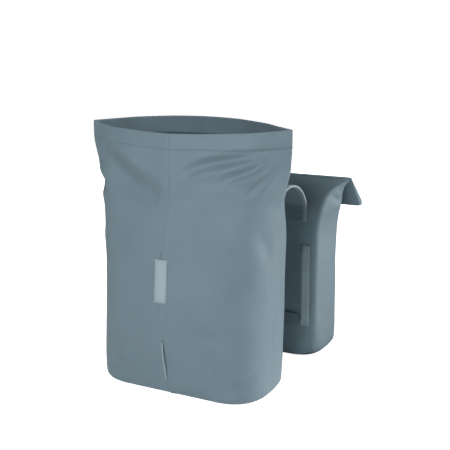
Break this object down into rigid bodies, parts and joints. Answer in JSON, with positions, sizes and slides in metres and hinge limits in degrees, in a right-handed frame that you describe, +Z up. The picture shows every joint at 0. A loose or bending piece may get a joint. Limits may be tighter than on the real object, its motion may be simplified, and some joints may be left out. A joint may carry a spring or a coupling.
{
  "type": "bicycle pannier bag",
  "caption": "Double roll-top pannier bag that straddles a rear luggage rack; one side stands open, the other has its top folded over.",
  "frame": {"origin": "on the ground, midway between the two bags, under the middle of the bridge", "axes": "+X along the bags, towards the front of the bicycle; +Y across the bicycle, from the open right bag to the left bag; +Z up"},
  "size_m": [0.442, 0.5182, 0.527],
  "materials": {
    "coated_fabric": "matte coated woven polyester, welded and sewn, grey-blue",
    "webbing": "woven polyester webbing, grey-blue",
    "strap": "woven hook-and-loop strap, dark blue-grey",
    "closure_tape": "hook-and-loop tape, dark blue-grey",
    "seam_tape": "heat-sealed seam tape, satin",
    "reflective_strip": "retroreflective woven strip, pale grey-blue",
    "stiffener": "black polyethylene board"
  },
  "bodies": {
    "bridge": {"bridge_binding_aft": "webbing", "bridge_binding_fore": "webbing", "bridge_panel": "coated_fabric"},
    "right_bag": {"right_back_board": "stiffener", "right_back_lip_tape": "closure_tape", "right_back_panel": "coated_fabric", "right_base_board": "stiffener", "right_base_strip": "coated_fabric", "right_bridge_tab": "coated_fabric", "right_centre_seam_tape": "seam_tape", "right_gusset_aft": "coated_fabric", "right_gusset_fore": "coated_fabric", "right_light_loop": "webbing", "right_outer_lip_tape": "closure_tape", "right_outer_panel_aft": "coated_fabric", "right_outer_panel_fore": "coated_fabric", "right_rail_aft": "webbing", "right_rail_fore": "webbing", "right_reflective_strip": "reflective_strip", "right_strap_patch": "strap"},
    "left_bag": {"left_back_board": "stiffener", "left_back_panel": "coated_fabric", "left_base_board": "stiffener", "left_base_strip": "coated_fabric", "left_bridge_tab": "coated_fabric", "left_centre_seam_tape": "seam_tape", "left_gusset_aft": "coated_fabric", "left_gusset_fore": "coated_fabric", "left_light_loop": "webbing", "left_outer_panel_aft": "coated_fabric", "left_outer_panel_fore": "coated_fabric", "left_rail_aft": "webbing", "left_rail_fore": "webbing", "left_reflective_strip": "reflective_strip", "left_strap_patch": "strap"},
    "left_top": {"left_fold_lower_tape": "closure_tape", "left_fold_upper_tape": "closure_tape", "left_folded_top": "coated_fabric"},
    "right_strap_fore": {"right_strap_fore": "strap"},
    "right_strap_aft": {"right_strap_aft": "strap"},
    "left_strap_fore": {"left_strap_fore": "strap"},
    "left_strap_aft": {"left_strap_aft": "strap"}
  },
  "joints": [
    {"name": "right_bag_swing", "type": "hinge", "parent": "bridge", "child": "right_bag", "pos_m": [0, -0.07745, 0.336], "axis": [-1, 0, 0], "range_deg": [-8, 20]},
    {"name": "left_bag_swing", "type": "hinge", "parent": "bridge", "child": "left_bag", "pos_m": [0, 0.07745, 0.336], "axis": [1, 0, 0], "range_deg": [-8, 50]},
    {"name": "left_top_unfold", "type": "hinge", "parent": "left_bag", "child": "left_top", "pos_m": [0, 0.15, 0.387], "axis": [1, 0, 0], "range_deg": [0, 130]},
    {"name": "right_strap_fore_swing", "type": "hinge", "parent": "right_bag", "child": "right_strap_fore", "pos_m": [0.059, -0.0778, 0.084], "axis": [0, 0, 1], "range_deg": [0, 75]},
    {"name": "right_strap_aft_swing", "type": "hinge", "parent": "right_bag", "child": "right_strap_aft", "pos_m": [-0.059, -0.0778, 0.084], "axis": [0, 0, -1], "range_deg": [0, 75]},
    {"name": "left_strap_fore_swing", "type": "hinge", "parent": "left_bag", "child": "left_strap_fore", "pos_m": [0.059, 0.0778, 0.084], "axis": [0, 0, -1], "range_deg": [0, 75]},
    {"name": "left_strap_aft_swing", "type": "hinge", "parent": "left_bag", "child": "left_strap_aft", "pos_m": [-0.059, 0.0778, 0.084], "axis": [0, 0, 1], "range_deg": [0, 75]}
  ]
}
